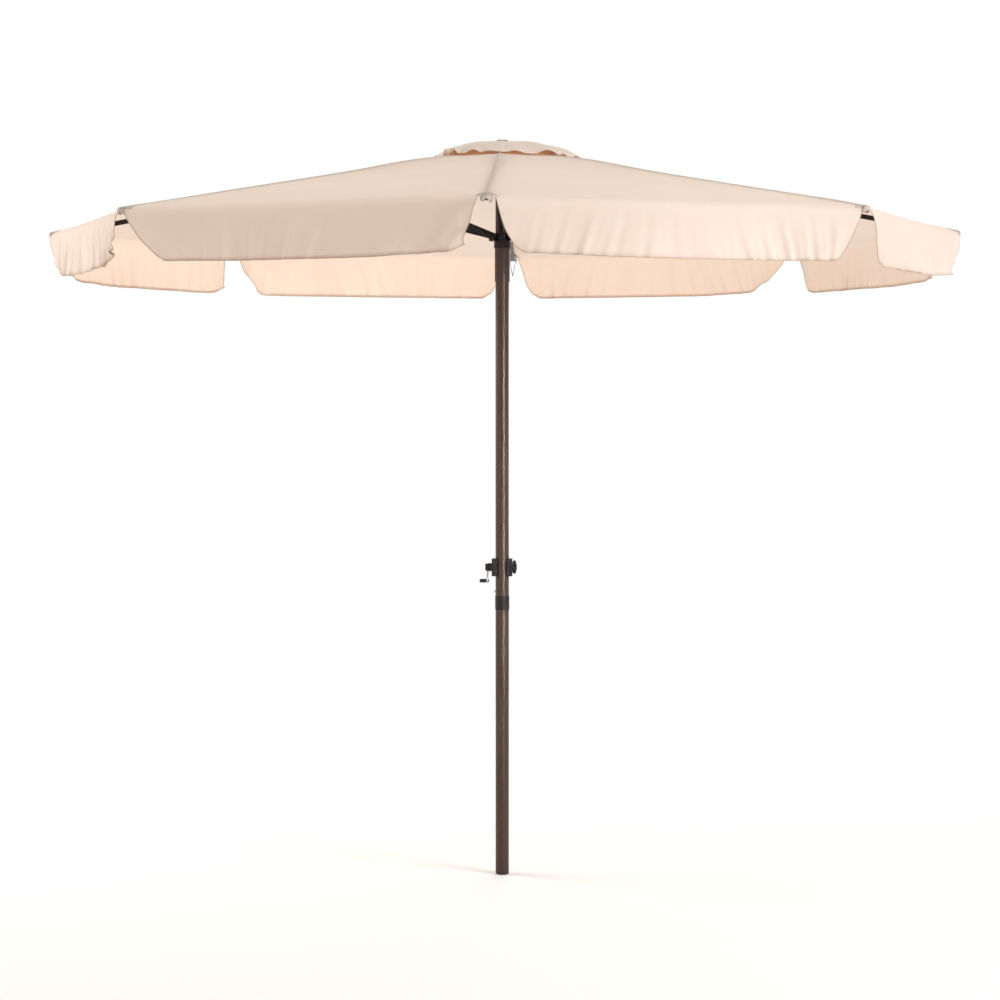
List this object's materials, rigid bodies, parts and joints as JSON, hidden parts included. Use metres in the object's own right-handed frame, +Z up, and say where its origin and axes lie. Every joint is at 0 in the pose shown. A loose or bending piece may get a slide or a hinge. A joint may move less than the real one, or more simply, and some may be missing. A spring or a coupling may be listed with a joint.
{
  "type": "patio umbrella",
  "caption": "Octagonal market umbrella with a crank lift, folding ribs and struts, a vent cap, a hanging valance and a two-piece pole.",
  "frame": {"origin": "middle of the foot plug's underside, on the pole's axis", "axes": "+Z up the pole, -Y out along the front rib, -X towards the crank handle"},
  "size_m": [3, 3, 2.445],
  "materials": {
    "canopy_cloth": "matte",
    "brown_pole": "satin",
    "brown_steel": "satin",
    "black_fittings": "matte",
    "crank_plastic": "satin",
    "crank_metal": "satin",
    "bright_steel": "satin",
    "grey_nylon": "matte",
    "rope": "matte"
  },
  "bodies": {
    "lower_tube": {"lower_pole": "brown_pole", "foot_plug": "black_fittings", "pole_collar": "black_fittings"},
    "mast": {"upper_pole": "brown_pole", "crank_housing_left": "crank_plastic", "crank_housing_right": "crank_plastic", "housing_screws": "brown_steel", "lift_rope": "rope", "top_hub": "black_fittings", "hub_pins": "bright_steel", "finial": "black_fittings"},
    "button": {"snap_button": "bright_steel"},
    "crank": {"crank_shaft": "bright_steel", "rope_spool": "grey_nylon", "crank_arm": "crank_metal"},
    "grip": {"crank_grip": "crank_plastic"},
    "knob": {"brake_knob": "crank_plastic"},
    "pulley": {"rope_pulley": "grey_nylon"},
    "runner": {"runner": "black_fittings", "runner_pins": "bright_steel"},
    "rib_0": {"rib_0": "brown_steel", "rib_fittings_0": "black_fittings", "canopy_sector_0": "canopy_cloth"},
    "strut_0": {"strut_0": "brown_steel"},
    "valance_0": {"valance_0": "canopy_cloth"},
    "rib_1": {"rib_1": "brown_steel", "rib_fittings_1": "black_fittings", "canopy_sector_1": "canopy_cloth"},
    "strut_1": {"strut_1": "brown_steel"},
    "valance_1": {"valance_1": "canopy_cloth"},
    "rib_2": {"rib_2": "brown_steel", "rib_fittings_2": "black_fittings", "canopy_sector_2": "canopy_cloth"},
    "strut_2": {"strut_2": "brown_steel"},
    "valance_2": {"valance_2": "canopy_cloth"},
    "rib_3": {"rib_3": "brown_steel", "rib_fittings_3": "black_fittings", "canopy_sector_3": "canopy_cloth"},
    "strut_3": {"strut_3": "brown_steel"},
    "valance_3": {"valance_3": "canopy_cloth"},
    "rib_4": {"rib_4": "brown_steel", "rib_fittings_4": "black_fittings", "canopy_sector_4": "canopy_cloth"},
    "strut_4": {"strut_4": "brown_steel"},
    "valance_4": {"valance_4": "canopy_cloth"},
    "rib_5": {"rib_5": "brown_steel", "rib_fittings_5": "black_fittings", "canopy_sector_5": "canopy_cloth"},
    "strut_5": {"strut_5": "brown_steel"},
    "valance_5": {"valance_5": "canopy_cloth"},
    "rib_6": {"rib_6": "brown_steel", "rib_fittings_6": "black_fittings", "canopy_sector_6": "canopy_cloth"},
    "strut_6": {"strut_6": "brown_steel"},
    "valance_6": {"valance_6": "canopy_cloth"},
    "rib_7": {"rib_7": "brown_steel", "rib_fittings_7": "black_fittings", "canopy_sector_7": "canopy_cloth"},
    "strut_7": {"strut_7": "brown_steel"},
    "valance_7": {"valance_7": "canopy_cloth"}
  },
  "joints": [
    {"name": "mast_lift", "type": "slide", "parent": "lower_tube", "child": "mast", "axis": [0, 0, 1], "range_m": [0, 0.14]},
    {"name": "fold", "type": "hinge", "parent": "mast", "child": "rib_0", "pos_m": [0, -0.038, 2.40199], "axis": [1, 0, 0], "range_deg": [0, 75], "deforming": ["canopy_sector_0", "canopy_sector_1", "canopy_sector_2", "canopy_sector_3", "canopy_sector_4", "canopy_sector_5", "canopy_sector_6", "canopy_sector_7", "valance_0", "valance_1", "valance_2", "valance_3", "valance_4", "valance_5", "valance_6", "valance_7", "lift_rope"]},
    {"name": "rib_1_hinge", "type": "hinge", "parent": "mast", "child": "rib_1", "pos_m": [0.02687, -0.02687, 2.40199], "axis": [0.7071, 0.7071, 0], "range_deg": [0, 76]},
    {"name": "rib_2_hinge", "type": "hinge", "parent": "mast", "child": "rib_2", "pos_m": [0.038, 0, 2.40199], "axis": [0, 1, 0], "range_deg": [0, 76]},
    {"name": "rib_3_hinge", "type": "hinge", "parent": "mast", "child": "rib_3", "pos_m": [0.02687, 0.02687, 2.40199], "axis": [-0.7071, 0.7071, 0], "range_deg": [0, 76]},
    {"name": "rib_4_hinge", "type": "hinge", "parent": "mast", "child": "rib_4", "pos_m": [0, 0.038, 2.40199], "axis": [-1, 0, 0], "range_deg": [0, 76]},
    {"name": "rib_5_hinge", "type": "hinge", "parent": "mast", "child": "rib_5", "pos_m": [-0.02687, 0.02687, 2.40199], "axis": [-0.7071, -0.7071, 0], "range_deg": [0, 76]},
    {"name": "rib_6_hinge", "type": "hinge", "parent": "mast", "child": "rib_6", "pos_m": [-0.038, 0, 2.40199], "axis": [0, -1, 0], "range_deg": [0, 76]},
    {"name": "rib_7_hinge", "type": "hinge", "parent": "mast", "child": "rib_7", "pos_m": [-0.02687, -0.02687, 2.40199], "axis": [0.7071, -0.7071, 0], "range_deg": [0, 76]},
    {"name": "strut_0_hinge", "type": "hinge", "parent": "rib_0", "child": "strut_0", "pos_m": [0, -0.58098, 2.265], "axis": [1, 0, 0], "range_deg": [-152, 0]},
    {"name": "strut_1_hinge", "type": "hinge", "parent": "rib_1", "child": "strut_1", "pos_m": [0.41082, -0.41082, 2.265], "axis": [0.7071, 0.7071, 0], "range_deg": [-152, 0]},
    {"name": "strut_2_hinge", "type": "hinge", "parent": "rib_2", "child": "strut_2", "pos_m": [0.58098, 0, 2.265], "axis": [0, 1, 0], "range_deg": [-152, 0]},
    {"name": "strut_3_hinge", "type": "hinge", "parent": "rib_3", "child": "strut_3", "pos_m": [0.41082, 0.41082, 2.265], "axis": [-0.7071, 0.7071, 0], "range_deg": [-152, 0]},
    {"name": "strut_4_hinge", "type": "hinge", "parent": "rib_4", "child": "strut_4", "pos_m": [0, 0.58098, 2.265], "axis": [-1, 0, 0], "range_deg": [-152, 0]},
    {"name": "strut_5_hinge", "type": "hinge", "parent": "rib_5", "child": "strut_5", "pos_m": [-0.41082, 0.41082, 2.265], "axis": [-0.7071, -0.7071, 0], "range_deg": [-152, 0]},
    {"name": "strut_6_hinge", "type": "hinge", "parent": "rib_6", "child": "strut_6", "pos_m": [-0.58098, 0, 2.265], "axis": [0, -1, 0], "range_deg": [-152, 0]},
    {"name": "strut_7_hinge", "type": "hinge", "parent": "rib_7", "child": "strut_7", "pos_m": [-0.41082, -0.41082, 2.265], "axis": [0.7071, -0.7071, 0], "range_deg": [-152, 0]},
    {"name": "runner_hinge", "type": "hinge", "parent": "strut_0", "child": "runner", "pos_m": [0, -0.038, 2.128], "axis": [1, 0, 0], "range_deg": [0, 76]},
    {"name": "valance_0_hang", "type": "hinge", "parent": "rib_0", "child": "valance_0", "pos_m": [0, -1.5, 2.1417], "axis": [1, 0, 0], "range_deg": [-76, 0]},
    {"name": "valance_1_hang", "type": "hinge", "parent": "rib_1", "child": "valance_1", "pos_m": [1.06066, -1.06066, 2.1417], "axis": [0.7071, 0.7071, 0], "range_deg": [-76, 0]},
    {"name": "valance_2_hang", "type": "hinge", "parent": "rib_2", "child": "valance_2", "pos_m": [1.5, 0, 2.1417], "axis": [0, 1, 0], "range_deg": [-76, 0]},
    {"name": "valance_3_hang", "type": "hinge", "parent": "rib_3", "child": "valance_3", "pos_m": [1.06066, 1.06066, 2.1417], "axis": [-0.7071, 0.7071, 0], "range_deg": [-76, 0]},
    {"name": "valance_4_hang", "type": "hinge", "parent": "rib_4", "child": "valance_4", "pos_m": [0, 1.5, 2.1417], "axis": [-1, 0, 0], "range_deg": [-76, 0]},
    {"name": "valance_5_hang", "type": "hinge", "parent": "rib_5", "child": "valance_5", "pos_m": [-1.06066, 1.06066, 2.1417], "axis": [-0.7071, -0.7071, 0], "range_deg": [-76, 0]},
    {"name": "valance_6_hang", "type": "hinge", "parent": "rib_6", "child": "valance_6", "pos_m": [-1.5, 0, 2.1417], "axis": [0, -1, 0], "range_deg": [-76, 0]},
    {"name": "valance_7_hang", "type": "hinge", "parent": "rib_7", "child": "valance_7", "pos_m": [-1.06066, -1.06066, 2.1417], "axis": [0.7071, -0.7071, 0], "range_deg": [-76, 0]},
    {"name": "pulley_turn", "type": "hinge", "parent": "mast", "child": "pulley", "pos_m": [-0.00251, 0.00605, 2.402], "axis": [-0.9239, -0.3827, 0], "range_deg": [-1, 2658]},
    {"name": "crank_turn", "type": "hinge", "parent": "mast", "child": "crank", "pos_m": [-0.05, 0, 1.031], "axis": [1, 0, 0], "range_deg": [-4369, 1]},
    {"name": "grip_spin", "type": "hinge", "parent": "crank", "child": "grip", "pos_m": [-0.06, -0.04607, 0.98951], "axis": [1, 0, 0], "continuous": true},
    {"name": "brake_turn", "type": "hinge", "parent": "mast", "child": "knob", "pos_m": [0.04, 0, 1.031], "axis": [1, 0, 0], "range_deg": [0, 270]},
    {"name": "button_press", "type": "slide", "parent": "mast", "child": "button", "axis": [1, 0, 0], "range_m": [0, 0.004], "stiffness_N_per_m": 1200, "springref_m": -0.002}
  ],
  "couplings": [
    {"joint": "rib_1_hinge", "follows": "fold", "ratio": 1},
    {"joint": "rib_2_hinge", "follows": "fold", "ratio": 1},
    {"joint": "rib_3_hinge", "follows": "fold", "ratio": 1},
    {"joint": "rib_4_hinge", "follows": "fold", "ratio": 1},
    {"joint": "rib_5_hinge", "follows": "fold", "ratio": 1},
    {"joint": "rib_6_hinge", "follows": "fold", "ratio": 1},
    {"joint": "rib_7_hinge", "follows": "fold", "ratio": 1},
    {"joint": "strut_0_hinge", "follows": "fold", "ratio": -2},
    {"joint": "strut_1_hinge", "follows": "fold", "ratio": -2},
    {"joint": "strut_2_hinge", "follows": "fold", "ratio": -2},
    {"joint": "strut_3_hinge", "follows": "fold", "ratio": -2},
    {"joint": "strut_4_hinge", "follows": "fold", "ratio": -2},
    {"joint": "strut_5_hinge", "follows": "fold", "ratio": -2},
    {"joint": "strut_6_hinge", "follows": "fold", "ratio": -2},
    {"joint": "strut_7_hinge", "follows": "fold", "ratio": -2},
    {"joint": "runner_hinge", "follows": "fold", "ratio": 1},
    {"joint": "valance_0_hang", "follows": "fold", "ratio": -1},
    {"joint": "valance_1_hang", "follows": "fold", "ratio": -1},
    {"joint": "valance_2_hang", "follows": "fold", "ratio": -1},
    {"joint": "valance_3_hang", "follows": "fold", "ratio": -1},
    {"joint": "valance_4_hang", "follows": "fold", "ratio": -1},
    {"joint": "valance_5_hang", "follows": "fold", "ratio": -1},
    {"joint": "valance_6_hang", "follows": "fold", "ratio": -1},
    {"joint": "valance_7_hang", "follows": "fold", "ratio": -1},
    {"joint": "pulley_turn", "follows": "fold", "ratio": 35.409},
    {"joint": "crank_turn", "follows": "fold", "ratio": -58.217}
  ]
}
